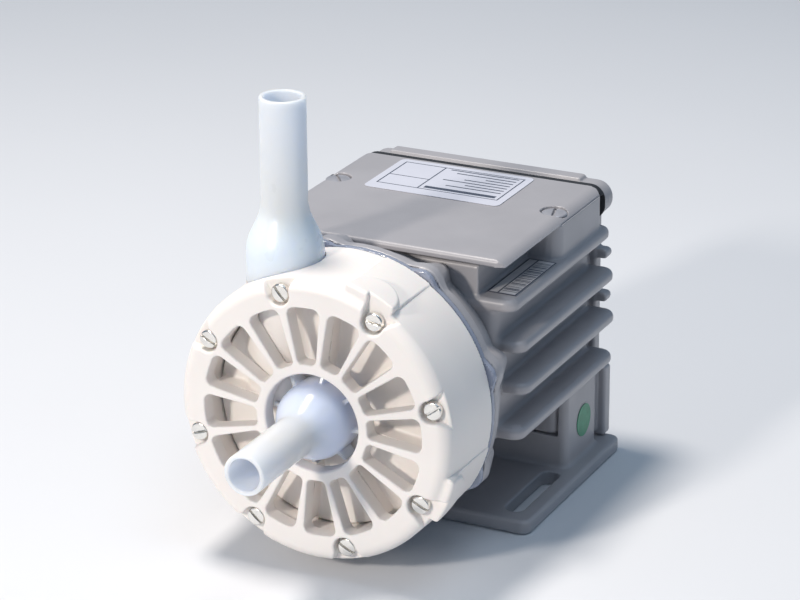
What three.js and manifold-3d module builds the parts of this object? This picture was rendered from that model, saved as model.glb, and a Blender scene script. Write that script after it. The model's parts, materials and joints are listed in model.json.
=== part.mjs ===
// Magnet-drive centrifugal pump: a round pump head with an axial inlet and an upright outlet,
// bolted to a finned motor that stands on a slotted foot.
// Millimetres. +X right seen from the inlet, +Y back along the shaft, +Z up.
// The origin is the middle of the foot's underside.
//
// Every piece is drawn in the shaft frame: y is the distance behind the cover's front face
// and z is the height above the shaft. The tree's inner group moves that frame onto the foot.
import * as THREE from 'three';
import * as BufferGeometryUtils from 'three/addons/utils/BufferGeometryUtils.js';
import Module from 'manifold-3d';

const wasm = await Module();
wasm.setup();

// ---------- driving dimensions ----------
const shaftHeight = 63;
const gap = 0.3;

const coverRadius = 57;
const coverDepth = 36.6;
const faceThickness = 7;
const eyeRadius = 19.3;
const cavityRadius = 46.5;
const windowCount = 16;
const windowInner = 23.3;
const windowOuter = 45.2;
const windowHalfAngle = 8.8;
const windowCorner = 2.2;
// Pads on the cover's right side, each just past a screw.
const padAngles = [66.5, -23.5];
const padHalfAngle = 10;
const padRadius = 59.2;
const padBack = 17;

const screwCount = 8;
const screwCircle = 50.65;
const firstScrewAngle = 15;
const screwHeadRadius = 3.6;
const screwHeadFront = 1.4;
const screwTip = 49;
// The screw in front of the outlet is a short one.
const shortScrew = 2;
const shortScrewTip = 7.6;
const pocketRadius = 4.5;
const pocketDepth = 4.3;
const shankRadius = 2;
const shankHoleRadius = 2.4;

const socketRadius = 14.8;
const inletPipeRadius = 8.1;
const inletBore = 6.3;
const inletTip = -51.5;
const inletPipeEnd = -3.6;
const outletPipeRadius = 8.8;
const outletBore = 7;
const outletX = -21.3;
const outletY = 22;
const outletNeckTop = 46.3;
const outletPipeEnd = 66.3;
const outletTop = 118;

const casingEye = 9;
const casingFront = 14;
const casingRadius = 46;
const casingBack = 36.3;
const casingEdge = 1.5;
const casingWall = 4;
const chamberRadius = 37;
const sealCircle = 41;
const sealRadius = 1.1;
const sealGroove = 2.3;
// Ribs on the casing and gussets on the inlet socket, behind every second spoke.
const ribCount = 8;
const firstRibAngle = 37.3;
const ribInner = 19.1;
const ribOuter = 44.5;
const ribThickness = 2;
const gussetReach = 18.8;
const gussetThickness = 1.4;
const gussetFront = 4;
const rearCasingFront = 36.9;
const rearCasingBack = 39.6;
const lugCircle = 54.2;
const lugRadius = 5.4;
const canRadius = 24.6;
const canBore = 23.4;
const canEnd = 64;
const canEndWall = 2.4;
const seatWall = 1;
const spindleRadius = 4;
const bushRadius = 5.6;
const impellerFront = 24;
const discRadius = 34;
const vaneCount = 6;

const flangeFront = 39.9;
const flangeRadius = 56.6;
const bossRadius = 6.9;
const bossCircle = 52.8;
const bearingRadius = 13;
const frontBearingY = 73.8;
const rearBearingY = 138.3;
const bearingWidth = 6;
const shaftRadius = 5;
const driveMagnetRadius = 31.3;
const coreFront = 92;
const coreBack = 124;
const windingDepth = 7.7;

const housingFront = 58.3;
const housingBack = 150.6;
const housingHalfWidth = 48;
const housingBottom = -43;
const barrelRadius = 42.8;
const barrelTop = -21;
const housingTop = 49.6;
const boreRadius = 40;
const boreEnd = 138;
const lidBoxFront = 104.5;
const lidBoxBottom = 37.1;
const lidBoxHalfWidth = 53.6;
const lidRecessHalfWidth = 41;
const chamberHalfWidth = 33;
const chamberFront = 62;
const chamberBack = 145;
const chamberFloor = 43.2;

const finThickness = 5;
const finPitch = 17.7;
const lowestFin = -18.5;
const finFronts = [60, 63, 61, 57];
const finBack = 153;
const finTip = 59.2;
const finTipRadius = 220;

const footHalfWidth = 58.8;
const footFront = 66.5;
const footBack = 160.5;
const footThickness = 6;
const slotX = 48.4;
const slotWidth = 7.8;
const slotFront = 74;
const slotBack = 115;
const pedestalFront = 119;
const pedestalHalfWidth = 52;
const pedestalTop = -21.3;

const lidHalfWidth = 54.2;
const lidFront = 55;
const lidBack = 148.3;
const lidTop = 53.9;
const lidThickness = 3.1;
const lidScrewX = 47.2;
const lidScrewY = 115;
const lidScrewRadius = 5.1;
const lidScrewSeat = 1.6;
const lidScrewHole = 2.8;

const rearCoverFront = 152.3;
const rearCoverTop = 52.5;
const rearGasketTop = 53.6;
const gasketOpening = 38;
const rearRibTop = 54;
const crownHalfWidth = 53;
const crownBottom = 39;
const crownCorner = 6.5;
const rearCoverBack = 161.5;
const rearScrewX = 41;
const rearScrewTop = 43;
const rearScrewBottom = -48;

const footScrewPlaces = [[-32, 126], [32, 126], [-32, 145], [32, 145]];
const footScrewTip = -35;
const footHeadRadius = 3.8;
const footHeadSeat = 5;
const glandY = 131;
const glandZ = 43.4;
const glandHoleRadius = 4;

// ---------- materials ----------
const finish = (color, roughness, metalness = 0) =>
  new THREE.MeshStandardMaterial({ color, roughness, metalness });
const creamPlastic = finish(0xebe1d6, 0.45);
const naturalPlastic = finish(0xd7e1f0, 0.35);
const greyPaint = finish(0x8c8c92, 0.5, 0.2);
const nickel = finish(0xd8d8d2, 0.25, 0.9);
const steel = finish(0xa8aab0, 0.35, 0.9);
const laminations = finish(0x6c6e74, 0.55, 0.6);
const copper = finish(0xb06a3a, 0.4, 0.8);
const magnetBlack = finish(0x303236, 0.5, 0.2);
const blackRubber = finish(0x1c1e22, 0.7);
const ceramic = finish(0xf2efe6, 0.3);
const boardGreen = finish(0x2f6b46, 0.5);
const labelWhite = finish(0xdfe3ee, 0.4);
const stickerGreen = finish(0x3f9464, 0.4);

// ---------- joining and cutting closed meshes ----------
function solidFrom(geometry) {
  const bare = geometry.clone();
  bare.deleteAttribute('normal');
  bare.deleteAttribute('uv');
  const merged = BufferGeometryUtils.mergeVertices(bare, 1e-4);
  const index = merged.index.array;
  const triangles = [];
  for (let i = 0; i < index.length; i += 3) {
    const [a, b, c] = index.slice(i, i + 3);
    if (a !== b && b !== c && c !== a) triangles.push([a, b, c]);
  }
  const corner = (vertex) => new THREE.Vector3().fromBufferAttribute(merged.attributes.position, vertex);
  const volume = triangles.reduce(
    (sum, [a, b, c]) => sum + corner(a).dot(corner(b).cross(corner(c))), 0);
  const outward = volume < 0 ? triangles.map(([a, b, c]) => [a, c, b]) : triangles;
  return new wasm.Manifold(new wasm.Mesh({
    numProp: 3,
    vertProperties: Float32Array.from(merged.attributes.position.array),
    triVerts: Uint32Array.from(outward.flat()),
  }));
}

function geometryFrom(solid) {
  const mesh = solid.getMesh();
  const geometry = new THREE.BufferGeometry();
  geometry.setAttribute('position', new THREE.BufferAttribute(mesh.vertProperties, 3));
  geometry.setIndex(new THREE.BufferAttribute(mesh.triVerts, 1));
  return geometry;
}

function join(first, ...others) {
  return geometryFrom(others.reduce((sum, other) => sum.add(solidFrom(other)), solidFrom(first)));
}

function cut(first, ...tools) {
  return geometryFrom(tools.reduce((rest, tool) => rest.subtract(solidFrom(tool)), solidFrom(first)));
}

// ---------- basic shapes ----------
// [radius, distance] points revolved about the shaft, run so that the faces point outwards.
// An outline that stays off the axis closes on itself.
function turned(profile, sides = 32) {
  const points = profile.map(([radius, y]) => new THREE.Vector2(radius, y));
  if (THREE.ShapeUtils.area(points) < 0) points.reverse();
  if (profile.every(([radius]) => radius > 0)) points.push(points[0].clone());
  return new THREE.LatheGeometry(points, sides);
}

const ring = (outer, inner, front, back, sides = 32) =>
  turned([[outer, front], [outer, back], [inner, back], [inner, front]], sides);

const rod = (radius, front, back, sides = 24, x = 0, z = 0) =>
  new THREE.CylinderGeometry(radius, radius, back - front, sides)
    .translate(x, (front + back) / 2, z);

// [radius, height] points revolved about a vertical line at x, y.
const upright = (profile, x, y, sides = 20) =>
  turned(profile, sides).rotateX(Math.PI / 2).translate(x, y, 0);

const post = (radius, bottom, top, x, y, sides = 20) =>
  upright([[0, bottom], [radius, bottom], [radius, top], [0, top]], x, y, sides);

// A round bar along X.
const sideways = (radius, left, right, y, z, sides = 16) =>
  new THREE.CylinderGeometry(radius, radius, right - left, sides)
    .rotateZ(Math.PI / 2)
    .translate((left + right) / 2, y, z);

const block = (left, right, front, back, bottom, top) =>
  new THREE.BoxGeometry(right - left, back - front, top - bottom)
    .translate((left + right) / 2, (front + back) / 2, (bottom + top) / 2);

// An outline in plan (x, y), raised from bottom to top.
const raised = (shape, bottom, top, curveSegments = 4) =>
  new THREE.ExtrudeGeometry(shape, { depth: top - bottom, bevelEnabled: false, curveSegments })
    .translate(0, 0, bottom);

// An outline seen from the front (x, z), carried from front to back.
const carried = (shape, front, back, curveSegments = 4) =>
  new THREE.ExtrudeGeometry(shape, { depth: back - front, bevelEnabled: false, curveSegments })
    .rotateX(Math.PI / 2)
    .translate(0, back, 0);

function roundedRectangle(left, right, low, high, corner) {
  const quarter = Math.PI / 2;
  const shape = new THREE.Shape();
  shape.absarc(right - corner, low + corner, corner, -quarter, 0);
  shape.absarc(right - corner, high - corner, corner, 0, quarter);
  shape.absarc(left + corner, high - corner, corner, quarter, 2 * quarter);
  shape.absarc(left + corner, low + corner, corner, 2 * quarter, 3 * quarter);
  shape.closePath();
  return shape;
}

// Part of a ring seen from the front, centred on +X, with its corners cut off.
function ringSector(inner, outer, halfAngle, corner) {
  const half = THREE.MathUtils.degToRad(halfAngle);
  const [across, up] = [Math.cos(half), Math.sin(half)];
  const shape = new THREE.Shape();
  shape.moveTo((inner + corner) * across, -(inner + corner) * up);
  shape.lineTo((outer - corner) * across, -(outer - corner) * up);
  shape.absarc(0, 0, outer, -half + corner / outer, half - corner / outer);
  shape.lineTo((outer - corner) * across, (outer - corner) * up);
  shape.lineTo((inner + corner) * across, (inner + corner) * up);
  shape.absarc(0, 0, inner, half - corner / inner, -half + corner / inner, true);
  shape.closePath();
  return shape;
}

// Turns a copy about the shaft, from +X towards +Z.
const about = (geometry, degrees) =>
  geometry.clone().rotateY(-THREE.MathUtils.degToRad(degrees));

const aroundShaft = (geometry, count, firstAngle) =>
  Array.from({ length: count }, (_, i) => about(geometry, firstAngle + i * 360 / count));

// ---------- pump head ----------
function screwPocket() {
  const flare = new THREE.Shape();
  flare.moveTo(screwCircle, -pocketRadius);
  flare.lineTo(coverRadius + 4, -1.6 * pocketRadius);
  flare.lineTo(coverRadius + 4, 1.6 * pocketRadius);
  flare.lineTo(screwCircle, pocketRadius);
  flare.closePath();
  return join(
    rod(pocketRadius, -1, pocketDepth, 10, screwCircle),
    carried(flare, -1, pocketDepth),
    rod(shankHoleRadius, pocketDepth - 1, coverDepth + 1, 6, screwCircle));
}

function frontCover() {
  const shoulder = [[52, 0], [54.5, 1.2], [55.8, 3.2], [56.2, 6]];
  const shell = turned([
    [eyeRadius, 0], ...shoulder, [coverRadius, coverDepth],
    [cavityRadius, coverDepth], [cavityRadius, faceThickness], [eyeRadius, faceThickness],
  ], 40);
  const padInner = 50;
  const padCorner = 3;
  const pad = carried(
    ringSector(padInner, padRadius, padHalfAngle, padCorner), faceThickness, padBack, 2);
  const windowTool = carried(
    ringSector(windowInner, windowOuter, windowHalfAngle, windowCorner), -1, faceThickness + 1, 2);
  const firstWindow = firstScrewAngle + 180 / windowCount;
  return cut(
    join(shell, ...padAngles.map((angle) => about(pad, angle))),
    ...aroundShaft(windowTool, windowCount, firstWindow),
    ...aroundShaft(screwPocket(), screwCount, firstScrewAngle),
    post(socketRadius + gap, 10, coverRadius + 4, outletX, outletY, 20));
}

function coverScrew(tip) {
  const headBack = pocketDepth - gap;
  const screw = turned([
    [0, screwHeadFront], [screwHeadRadius - 0.5, screwHeadFront],
    [screwHeadRadius, screwHeadFront + 0.5], [screwHeadRadius, headBack],
    [shankRadius, headBack], [shankRadius, tip], [0, tip],
  ], 8);
  const [slotDepth, slotHalf] = [1.2, 0.45];
  return cut(screw, block(-5, 5, 0, screwHeadFront + slotDepth, -slotHalf, slotHalf));
}

function voluteCasing() {
  const shell = turned([
    [casingEye, casingFront], [casingRadius - casingEdge, casingFront],
    [casingRadius, casingFront + casingEdge], [casingRadius, casingBack], [casingEye, casingBack],
  ]);
  const rib = block(
    ribInner, ribOuter, faceThickness + 0.5, casingFront + 1, -ribThickness / 2, ribThickness / 2);
  const sealGrooveHalf = 1.5;
  return cut(
    join(shell, post(socketRadius, 12, outletNeckTop, outletX, outletY, 20),
      ...aroundShaft(rib, ribCount, firstRibAngle)),
    rod(chamberRadius, casingFront + casingWall, rearCasingFront, 32),
    post(outletBore, 2, outletNeckTop + 1, outletX, outletY, 12),
    ring(sealCircle + sealGrooveHalf, sealCircle - sealGrooveHalf,
      casingBack - sealGroove, rearCasingFront));
}

// A dome that takes the inlet pipe, with small gussets around its foot.
function inletSocket() {
  const back = casingFront - gap;
  const domeFront = -9;
  const dome = turned([
    [socketRadius, back], [socketRadius, 3.5], [14.1, 0], [12.4, -4], [10.4, -7.4], [9.5, domeFront],
    [inletPipeRadius + gap, domeFront], [inletPipeRadius + gap, inletPipeEnd + gap],
    [inletBore, inletPipeEnd + gap], [inletBore, back],
  ], 20);
  const gusset = block(
    socketRadius - 1.5, gussetReach, gussetFront, back, -gussetThickness / 2, gussetThickness / 2);
  return cut(
    join(dome, ...aroundShaft(gusset, ribCount, firstRibAngle)),
    post(socketRadius + gap, 0, outletNeckTop, outletX, outletY));
}

const inletPipe = () => ring(inletPipeRadius, inletBore, inletTip, inletPipeEnd, 20);

function outletSocket() {
  const bottom = outletNeckTop + gap;
  const top = 73;
  return upright([
    [socketRadius, bottom], [socketRadius, 59.5], [14.1, 63], [11.6, 68.5], [9.9, 72.5], [9.7, top],
    [outletPipeRadius + gap, top], [outletPipeRadius + gap, outletPipeEnd - gap],
    [outletBore, outletPipeEnd - gap], [outletBore, bottom],
  ], outletX, outletY);
}

const outletPipe = () => upright([
  [outletPipeRadius, outletPipeEnd], [outletPipeRadius, outletTop],
  [outletBore, outletTop], [outletBore, outletPipeEnd],
], outletX, outletY);

function casingSeal() {
  const middle = casingBack - sealGroove / 2 + 0.15;
  const circle = Array.from({ length: 6 }, (_, i) => {
    const angle = i * Math.PI / 3;
    return [sealCircle + sealRadius * Math.cos(angle), middle + sealRadius * Math.sin(angle)];
  });
  return turned(circle, 24);
}

// A plate with a thin can over the impeller's magnet. The spindle sits in a blind seat at its end.
function rearCasing() {
  const can = turned([
    [0, canEnd], [canRadius, canEnd], [canRadius, rearCasingBack], [coverRadius, rearCasingBack],
    [coverRadius, rearCasingFront], [canBore, rearCasingFront], [canBore, canEnd - canEndWall],
    [spindleRadius + gap, canEnd - canEndWall], [spindleRadius + gap, canEnd - seatWall],
    [0, canEnd - seatWall],
  ], 32);
  const lug = rod(lugRadius, rearCasingFront, rearCasingBack, 8, lugCircle);
  const hole = rod(shankHoleRadius, rearCasingFront - 1, rearCasingBack + 1, 6, screwCircle);
  return cut(
    join(can, ...aroundShaft(lug, screwCount, firstScrewAngle)),
    ...aroundShaft(hole, screwCount, firstScrewAngle));
}

// A ceramic pin with a collar at its front.
function pumpSpindle() {
  const [front, collarRadius, collarBack] = [19, 6.5, 21.2];
  const back = canEnd - seatWall - gap;
  return turned([
    [0, front], [collarRadius, front], [collarRadius, collarBack], [spindleRadius, collarBack],
    [spindleRadius, back], [0, back],
  ], 16);
}

const frontThrustWasher = () => ring(7.5, spindleRadius + gap, 21.5, 23.3, 16);
const rearThrustWasher = () => ring(8, spindleRadius + gap, 59.6, 61.2, 16);

// ---------- impeller ----------
// A disc with six swept vanes and a hub that carries the bush inside and the magnet outside.
function impeller() {
  const [bore, hubRadius, hubEnd] = [bushRadius + gap, 10, 59];
  const wheel = turned([
    [bore, impellerFront], [11, impellerFront], [12.5, 29], [discRadius, 29.5], [discRadius, 32],
    [hubRadius, 33], [hubRadius, hubEnd], [bore, hubEnd],
  ], 24);
  const [vaneLength, vaneFront, vaneBack, vaneHalf, vaneSweep] = [24, 20.5, 30.5, 0.9, 18];
  const vane = block(0, vaneLength, vaneFront, vaneBack, -vaneHalf, vaneHalf)
    .rotateY(THREE.MathUtils.degToRad(vaneSweep))
    .translate(10.5, 0, 0);
  return join(wheel, ...aroundShaft(vane, vaneCount, 0));
}

const impellerMagnet = () => ring(22.7, 10.3, 41, 60, 24);
const impellerBush = () => ring(bushRadius, spindleRadius + gap, impellerFront - gap, 59.3, 16);

// ---------- motor ----------
// The motor's front shield: a rim, a barrel, a spigot into the housing and a web for the bearing.
function motorFlange() {
  const bossBack = housingFront - gap;
  const [hollow, rimBack, webFront, spigotBack, shaftHole] = [36, 44.5, 70, 80.5, 8];
  const shield = turned([
    [hollow, flangeFront], [flangeRadius, flangeFront], [flangeRadius, rimBack],
    [51, 47], [50, bossBack],
    [boreRadius - gap, bossBack], [boreRadius - gap, spigotBack],
    [bearingRadius + gap, spigotBack], [bearingRadius + gap, frontBearingY - gap],
    [shaftHole, frontBearingY - gap], [shaftHole, webFront], [hollow, webFront],
  ], 32);
  const boss = turned([
    [0, flangeFront], [bossRadius, flangeFront], [bossRadius - 1.2, 50], [bossRadius - 3, bossBack],
    [0, bossBack],
  ], 8).translate(bossCircle, 0, 0);
  const hole = rod(shankHoleRadius, flangeFront - 1, screwTip + 1, 6, screwCircle);
  const underLid = block(
    -footHalfWidth, footHalfWidth, lidFront - gap, housingFront, lidTop - lidThickness - gap, 70);
  return cut(
    join(shield, ...aroundShaft(boss, screwCount, firstScrewAngle)),
    ...aroundShaft(hole, screwCount, firstScrewAngle), underLid);
}

function sideFin(height, front) {
  const tip = finTip - height * height / (2 * finTipRadius);
  const corner = 5;
  return raised(
    roundedRectangle(-tip, tip, front, finBack, corner),
    height - finThickness / 2, height + finThickness / 2);
}

function motorHousing() {
  const core = block(
    -housingHalfWidth, housingHalfWidth, housingFront, housingBack, housingBottom, housingTop);
  const barrel = rod(barrelRadius, housingFront, pedestalFront + 1, 32);
  const underside = block(
    -footHalfWidth, footHalfWidth, housingFront - 1, pedestalFront, housingBottom - 1, barrelTop);
  const lidBox = block(
    -lidBoxHalfWidth, lidBoxHalfWidth, lidBoxFront, housingBack, lidBoxBottom, housingTop);
  const fins = finFronts.map((front, i) => sideFin(lowestFin + i * finPitch, front));
  const frontRelief = block(
    -housingHalfWidth, housingHalfWidth, housingFront - 3, housingFront, -30, 45);
  const rearRelief = block(
    -housingHalfWidth + 1.5, housingHalfWidth - 1.5, housingBack, finBack + 1, -30, 45);
  const overhangs = [[-footHalfWidth, -lidRecessHalfWidth], [lidRecessHalfWidth, footHalfWidth]].map(
    ([left, right]) => block(left, right, housingFront - 1, lidBoxFront, lidBoxBottom, housingTop + 1));
  const compartment = block(
    -chamberHalfWidth, chamberHalfWidth, chamberFront, chamberBack, chamberFloor, housingTop + 1);
  const lidScrewHoles = [-lidScrewX, lidScrewX].map((x) =>
    post(lidScrewHole, 39, housingTop + 1, x, lidScrewY, 8));
  const footScrewHoles = footScrewPlaces.map(([x, y]) =>
    post(shankHoleRadius, housingBottom - 1, footScrewTip + 1, x, y, 6));
  return cut(
    join(cut(core, underside), barrel, lidBox, ...fins),
    frontRelief, rearRelief, ...overhangs, compartment, ...lidScrewHoles, ...footScrewHoles,
    sideways(glandHoleRadius, -60, -32, glandY, glandZ, 10),
    rod(boreRadius, housingFront - 1, boreEnd, 32),
    rod(bearingRadius + gap, boreEnd - 1, rearBearingY + bearingWidth + gap, 20),
    rod(shaftRadius + 1, boreEnd, housingBack + 1, 12));
}

const statorCore = () => ring(boreRadius - gap, 23.6, coreFront, coreBack, 32);
const frontWinding = () => ring(36.5, 25.5, coreFront - gap - windingDepth, coreFront - gap, 20);
const rearWinding = () => ring(36.5, 25.5, coreBack + gap, coreBack + gap + windingDepth, 20);
const bearing = (front) => ring(bearingRadius, shaftRadius + gap, front, front + bearingWidth, 20);

// ---------- rotor ----------
function motorShaft() {
  const [front, back, chamfer] = [65, 149, 0.6];
  return turned([
    [0, front], [shaftRadius - chamfer, front], [shaftRadius, front + chamfer],
    [shaftRadius, back - chamfer], [shaftRadius - chamfer, back], [0, back],
  ], 16);
}

const rotorCore = () => ring(23.1, shaftRadius + gap, coreFront, coreBack, 24);

// A cup on the shaft that carries the drive magnets around the can.
function driveHub() {
  const [outer, front, webFront, back] = [34.5, 45, 64.9, 69.2];
  const inner = driveMagnetRadius + gap;
  return turned([
    [outer, front], [outer, back], [shaftRadius + gap, back], [shaftRadius + gap, webFront],
    [inner, webFront], [inner, front],
  ], 24);
}

const driveMagnets = () => ring(driveMagnetRadius, canRadius + 0.8, 46, 62, 24);

// ---------- foot ----------
function mountingFoot() {
  const bottom = -shaftHeight;
  const plateTop = bottom + footThickness;
  const outline = roundedRectangle(-footHalfWidth, footHalfWidth, footFront, footBack, 4);
  const slots = [-slotX, slotX].map((x) => raised(
    roundedRectangle(x - slotWidth / 2, x + slotWidth / 2, slotFront, slotBack, slotWidth / 2 - 0.01),
    bottom - 1, plateTop + 1));
  const pedestal = raised(
    roundedRectangle(-pedestalHalfWidth, pedestalHalfWidth, pedestalFront, housingBack, 3),
    plateTop - 1, pedestalTop);
  const saddle = block(
    -housingHalfWidth - gap, housingHalfWidth + gap, pedestalFront - 1, footBack,
    housingBottom - gap, 0);
  const screwHoles = footScrewPlaces.flatMap(([x, y]) => [
    post(footHeadRadius + 0.4, bottom - 1, bottom + footHeadSeat, x, y, 10),
    post(shankHoleRadius, bottom, housingBottom, x, y, 6),
  ]);
  return cut(join(raised(outline, bottom, plateTop), cut(pedestal, saddle)), ...slots, ...screwHoles);
}

function footScrew([x, y]) {
  const headTop = footHeadSeat - gap - shaftHeight;
  const headBottom = headTop - 3.4;
  return upright([
    [0, headBottom], [footHeadRadius, headBottom], [footHeadRadius, headTop], [shankRadius, headTop],
    [shankRadius, footScrewTip], [0, footScrewTip],
  ], x, y, 8);
}

// ---------- lid and terminal compartment ----------
function lid() {
  const plate = raised(
    roundedRectangle(-lidHalfWidth, lidHalfWidth, lidFront, lidBack, 5),
    lidTop - lidThickness, lidTop);
  const holes = [-lidScrewX, lidScrewX].map((x) => join(
    post(lidScrewRadius + gap, lidTop - lidScrewSeat, lidTop + 1, x, lidScrewY, 12),
    post(lidScrewHole, lidTop - lidThickness - 1, lidTop, x, lidScrewY, 8)));
  return cut(plate, ...holes);
}

function lidScrew() {
  const [shank, tip, slotHalf] = [lidScrewHole - 0.4, 42, 0.6];
  const underHead = lidTop - lidScrewSeat + gap;
  const headTop = lidTop - 0.2;
  const screw = upright([
    [0, tip], [shank, tip], [shank, underHead], [lidScrewRadius, underHead],
    [lidScrewRadius, headTop], [0, headTop],
  ], 0, 0, 12);
  return cut(screw, block(-6, 6, -slotHalf, slotHalf, lidTop - 1, lidTop + 1));
}

function lidGasket() {
  const bottom = housingTop + gap;
  const top = lidTop - lidThickness - gap;
  const [width, corner] = [3.5, 3];
  const outline = roundedRectangle(
    -chamberHalfWidth - width, chamberHalfWidth + width, chamberFront - corner, lidBack, corner);
  const opening = block(
    -chamberHalfWidth, chamberHalfWidth, chamberFront, chamberBack, bottom - 1, top + 1);
  return cut(raised(outline, bottom, top), opening);
}

// A cable gland in the compartment's left wall: a threaded shank, a hexagon and a domed nut.
function cableGland() {
  const wall = -lidBoxHalfWidth - gap;
  const [shankEnd, hexagonFront, nutFront, bore] = [-44, 2.6, 5.4, 2.6];
  const body = join(
    sideways(glandHoleRadius - gap, wall - 1, shankEnd, glandY, glandZ, 10),
    sideways(6, wall - hexagonFront, wall, glandY, glandZ, 6),
    sideways(5, wall - nutFront, wall - hexagonFront + 0.1, glandY, glandZ, 12));
  return cut(body, sideways(bore, -62, -40, glandY, glandZ, 10));
}

// A circuit board with two lying capacitors and three blocks of components.
function driverBoard() {
  const bottom = chamberFloor + 0.8;
  const top = bottom + 1.6;
  const deck = block(-31, 31, 66, 142, bottom, top);
  const capacitors = [-18, -10].map((x) => rod(2.4, 70, 92, 8, x, top + 1.8));
  const blocks = [
    block(2, 22, 72, 96, bottom + 1, top + 2.6),
    block(-24, -8, 104, 120, bottom + 1, top + 2),
    block(4, 26, 112, 130, bottom + 1, top + 3),
  ];
  return join(deck, ...capacitors, ...blocks);
}

// ---------- rear ----------
function rearOutline(narrow, wide, top, bottom) {
  const shoulder = -27;
  const corner = 8;
  const shape = new THREE.Shape();
  shape.moveTo(-wide, bottom);
  shape.lineTo(wide, bottom);
  shape.lineTo(wide, shoulder);
  shape.lineTo(narrow, shoulder + 4);
  shape.absarc(narrow - corner, top - corner, corner, 0, Math.PI / 2);
  shape.absarc(corner - narrow, top - corner, corner, Math.PI / 2, Math.PI);
  shape.lineTo(-narrow, shoulder + 4);
  shape.lineTo(-wide, shoulder);
  shape.closePath();
  return shape;
}

// A crown that stands out at the top corners of the gasket and of the rear cover.
const crown = (halfWidth, top, front, back) =>
  carried(roundedRectangle(-halfWidth, halfWidth, crownBottom, top, crownCorner), front, back);

function rearGasket() {
  const [front, back] = [housingBack + 2 * gap, rearCoverFront - gap];
  const lip = cut(
    crown(crownHalfWidth + 0.5, rearGasketTop, lidBack + gap, back),
    block(-footHalfWidth, footHalfWidth, lidBack, front, crownBottom - 1, housingTop + gap));
  const sheet = carried(rearOutline(44.5, 49, rearGasketTop - 1, -54), front, back);
  return cut(join(sheet, lip), rod(gasketOpening, front - 1, back + 1, 20));
}

function rearCover() {
  const bodyFront = rearCoverFront + 3.3;
  const body = carried(rearOutline(48.3, 53.4, rearCoverTop, -56.5), bodyFront, rearCoverBack);
  const step = carried(rearOutline(45.5, 50, rearCoverTop, -55), rearCoverFront, bodyFront + 1);
  const topRib = block(-44, 41.5, rearCoverFront + 2, rearCoverBack - 0.6, 45, rearRibTop);
  const ribHalf = 2;
  const sideRibs = [4.1, 22.7].map((z) => block(
    -crownHalfWidth, crownHalfWidth, bodyFront + 0.3, rearCoverBack - 0.3, z - ribHalf, z + ribHalf));
  const screwHoles = rearScrewPlaces.map(([x, z]) =>
    rod(shankHoleRadius, rearCoverFront - 1, rearCoverBack + 1, 6, x, z));
  return cut(
    join(body, step, topRib, crown(crownHalfWidth, rearCoverTop, rearCoverFront, rearCoverBack),
      ...sideRibs), ...screwHoles,
    rod(30, rearCoverFront - 1, rearCoverFront + 4, 16));
}

const rearScrewPlaces = [
  [-rearScrewX, rearScrewTop], [rearScrewX, rearScrewTop],
  [-rearScrewX, rearScrewBottom], [rearScrewX, rearScrewBottom],
];

function rearScrew() {
  const [tip, underHead, headRadius] = [rearCoverFront + 0.5, rearCoverBack + gap, 3.8];
  return turned([
    [0, tip], [shankRadius, tip], [shankRadius, underHead], [headRadius, underHead],
    [headRadius - 0.4, rearCoverBack + 2], [0, rearCoverBack + 2.4],
  ], 8);
}

// ---------- labels ----------
const plateLabel = (left, right, front, back, top) =>
  raised(roundedRectangle(left, right, front, back, 2), top + 0.1, top + 0.3);

const roundSticker = () =>
  sideways(6.8, pedestalHalfWidth + 0.1, pedestalHalfWidth + gap, 136.5, -42);

// ---------- the tree ----------
const pump = new THREE.Group();
const shaftFrame = new THREE.Group();
shaftFrame.position.set(0, -(footFront + footBack) / 2, shaftHeight);
pump.add(shaftFrame);

function place(name, geometry, material, position = [0, 0, 0], turn = [0, 0, 0]) {
  const mesh = new THREE.Mesh(geometry, material);
  mesh.name = name;
  mesh.position.set(...position);
  mesh.rotation.set(...turn);
  shaftFrame.add(mesh);
}

place('front_cover', frontCover(), creamPlastic);
place('volute_casing', voluteCasing(), creamPlastic);
place('inlet_socket', inletSocket(), naturalPlastic);
place('inlet_pipe', inletPipe(), naturalPlastic);
place('outlet_socket', outletSocket(), naturalPlastic);
place('outlet_pipe', outletPipe(), naturalPlastic);
place('casing_seal', casingSeal(), blackRubber);
place('rear_casing', rearCasing(), naturalPlastic);
place('pump_spindle', pumpSpindle(), ceramic);
place('front_thrust_washer', frontThrustWasher(), ceramic);
place('rear_thrust_washer', rearThrustWasher(), ceramic);
place('impeller', impeller(), naturalPlastic);
place('impeller_magnet', impellerMagnet(), magnetBlack);
place('impeller_bush', impellerBush(), magnetBlack);

place('motor_flange', motorFlange(), greyPaint);
place('motor_housing', motorHousing(), greyPaint);
place('stator_core', statorCore(), laminations);
place('front_winding', frontWinding(), copper);
place('rear_winding', rearWinding(), copper);
place('front_bearing', bearing(frontBearingY), steel);
place('rear_bearing', bearing(rearBearingY), steel);
place('motor_shaft', motorShaft(), steel);
place('rotor_core', rotorCore(), laminations);
place('drive_hub', driveHub(), steel);
place('drive_magnets', driveMagnets(), magnetBlack);

place('mounting_foot', mountingFoot(), greyPaint);
place('lid', lid(), greyPaint);
place('lid_gasket', lidGasket(), blackRubber);
place('driver_board', driverBoard(), boardGreen);
place('cable_gland', cableGland(), blackRubber);
place('rear_gasket', rearGasket(), blackRubber);
place('rear_cover', rearCover(), greyPaint);
place('rating_label', plateLabel(-33.4, 25.6, 109.4, 146, lidTop), labelWhite);
place('fin_label', plateLabel(42, 54, 64, 103, lowestFin + 3 * finPitch + finThickness / 2), labelWhite);
place('round_sticker', roundSticker(), stickerGreen);

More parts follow.
